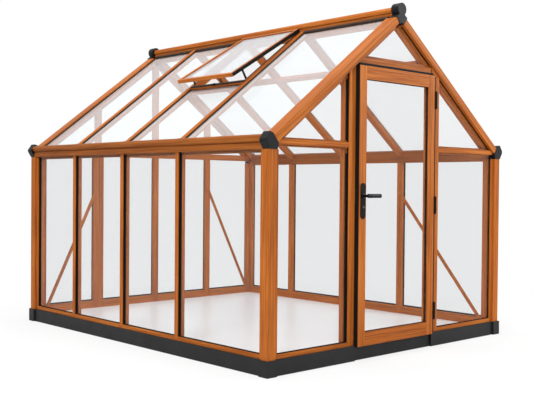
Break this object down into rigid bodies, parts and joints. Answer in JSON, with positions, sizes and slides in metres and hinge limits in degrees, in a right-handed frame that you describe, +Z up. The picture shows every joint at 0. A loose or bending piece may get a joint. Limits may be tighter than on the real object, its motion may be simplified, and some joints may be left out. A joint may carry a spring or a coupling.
{
  "type": "greenhouse",
  "caption": "Gable-roofed wooden garden greenhouse on a dark base, with glazed walls and roof, a hinged glazed door with lever handle and a ridge-hung roof vent.",
  "frame": {"origin": "centre of the bounding box's bottom face, on the ground", "axes": "+X across the gables to the side without the vent, +Y along the ridge towards the rear gable (the door gable is at -Y), +Z up"},
  "size_m": [2.46, 2.944, 2.3511],
  "materials": {
    "wood_frame": "semi-matt stained timber",
    "base_dark": "fine-textured dark grey",
    "connector_dark": "fine-textured dark grey",
    "rubber_black": "matt",
    "wall_glass": "clear",
    "roof_glass": "slightly hazy",
    "floor_pale": "matt pale grey",
    "lock_metal": "satin",
    "hardware_dark": "satin dark grey"
  },
  "bodies": {
    "house": {"base_rails": "base_dark", "door_threshold": "base_dark", "base_corner_covers": "base_dark", "floor_bearers": "wood_frame", "floor_deck": "floor_pale", "corner_posts": "wood_frame", "side_mullions": "wood_frame", "rear_mullions": "wood_frame", "side_bottom_rails": "wood_frame", "rear_bottom_rails": "wood_frame", "front_bottom_rails": "wood_frame", "latch_post": "wood_frame", "hinge_post": "wood_frame", "front_eave_rails": "wood_frame", "rear_eave_rail": "wood_frame", "door_lintel": "wood_frame", "eave_beam_left": "wood_frame", "eave_beam_right": "wood_frame", "ridge_beam": "wood_frame", "ridge_seals": "rubber_black", "gable_rafters_front": "wood_frame", "gable_rafters_rear": "wood_frame", "roof_bars_left": "wood_frame", "roof_bars_right": "wood_frame", "roof_purlin": "wood_frame", "eave_connectors": "connector_dark", "ridge_connectors": "connector_dark", "bar_foot_clips": "rubber_black", "side_panes_left": "wall_glass", "side_panes_right": "wall_glass", "rear_panes": "wall_glass", "front_panes": "wall_glass", "gable_panes": "wall_glass", "roof_panes_left": "roof_glass", "roof_panes_right": "roof_glass", "wall_seals": "rubber_black", "gable_seals": "rubber_black", "roof_seals": "rubber_black", "wind_braces": "wood_frame", "vent_curb": "wood_frame", "vent_sill": "wood_frame", "vent_hinge_rod": "hardware_dark", "vent_stay_peg": "hardware_dark", "hinge_post_leaves": "hardware_dark", "strike_plate": "lock_metal"},
    "door": {"door_stiles": "wood_frame", "door_rails": "wood_frame", "door_pane": "wall_glass", "door_seals": "rubber_black", "hinge_door_leaves": "hardware_dark", "lock_case": "lock_metal", "key_cylinder": "lock_metal", "handle_plates": "hardware_dark"},
    "levers": {"door_levers": "hardware_dark"},
    "bolt": {"latch_bolt": "lock_metal"},
    "vent": {"vent_frame": "wood_frame", "vent_pane": "roof_glass", "vent_edge_seals": "rubber_black", "vent_stay_bracket": "hardware_dark"},
    "stay": {"vent_stay": "hardware_dark"}
  },
  "joints": [
    {"name": "door_swing", "type": "hinge", "parent": "house", "child": "door", "pos_m": [0.3676, -1.416, 0.99], "axis": [0, 0, 1], "range_deg": [0, 150]},
    {"name": "lever_turn", "type": "hinge", "parent": "door", "child": "levers", "pos_m": [-0.395, -1.413, 1.06], "axis": [0, 1, 0], "range_deg": [0, 35], "stiffness_Nm_per_rad": 1.2, "springref_deg": -20.05},
    {"name": "bolt_slide", "type": "slide", "parent": "door", "child": "bolt", "axis": [1, 0, 0], "range_m": [0, 0.0125]},
    {"name": "vent_swing", "type": "hinge", "parent": "house", "child": "vent", "pos_m": [-0.03498, -0.163, 2.28018], "axis": [0, 1, 0], "range_deg": [-6, 40]},
    {"name": "stay_swing", "type": "hinge", "parent": "vent", "child": "stay", "pos_m": [-0.57559, -0.163, 1.94894], "axis": [0, 1, 0], "range_deg": [-75, 4]}
  ],
  "couplings": [
    {"joint": "bolt_slide", "follows": "lever_turn", "m_per_rad": 0.0196}
  ]
}
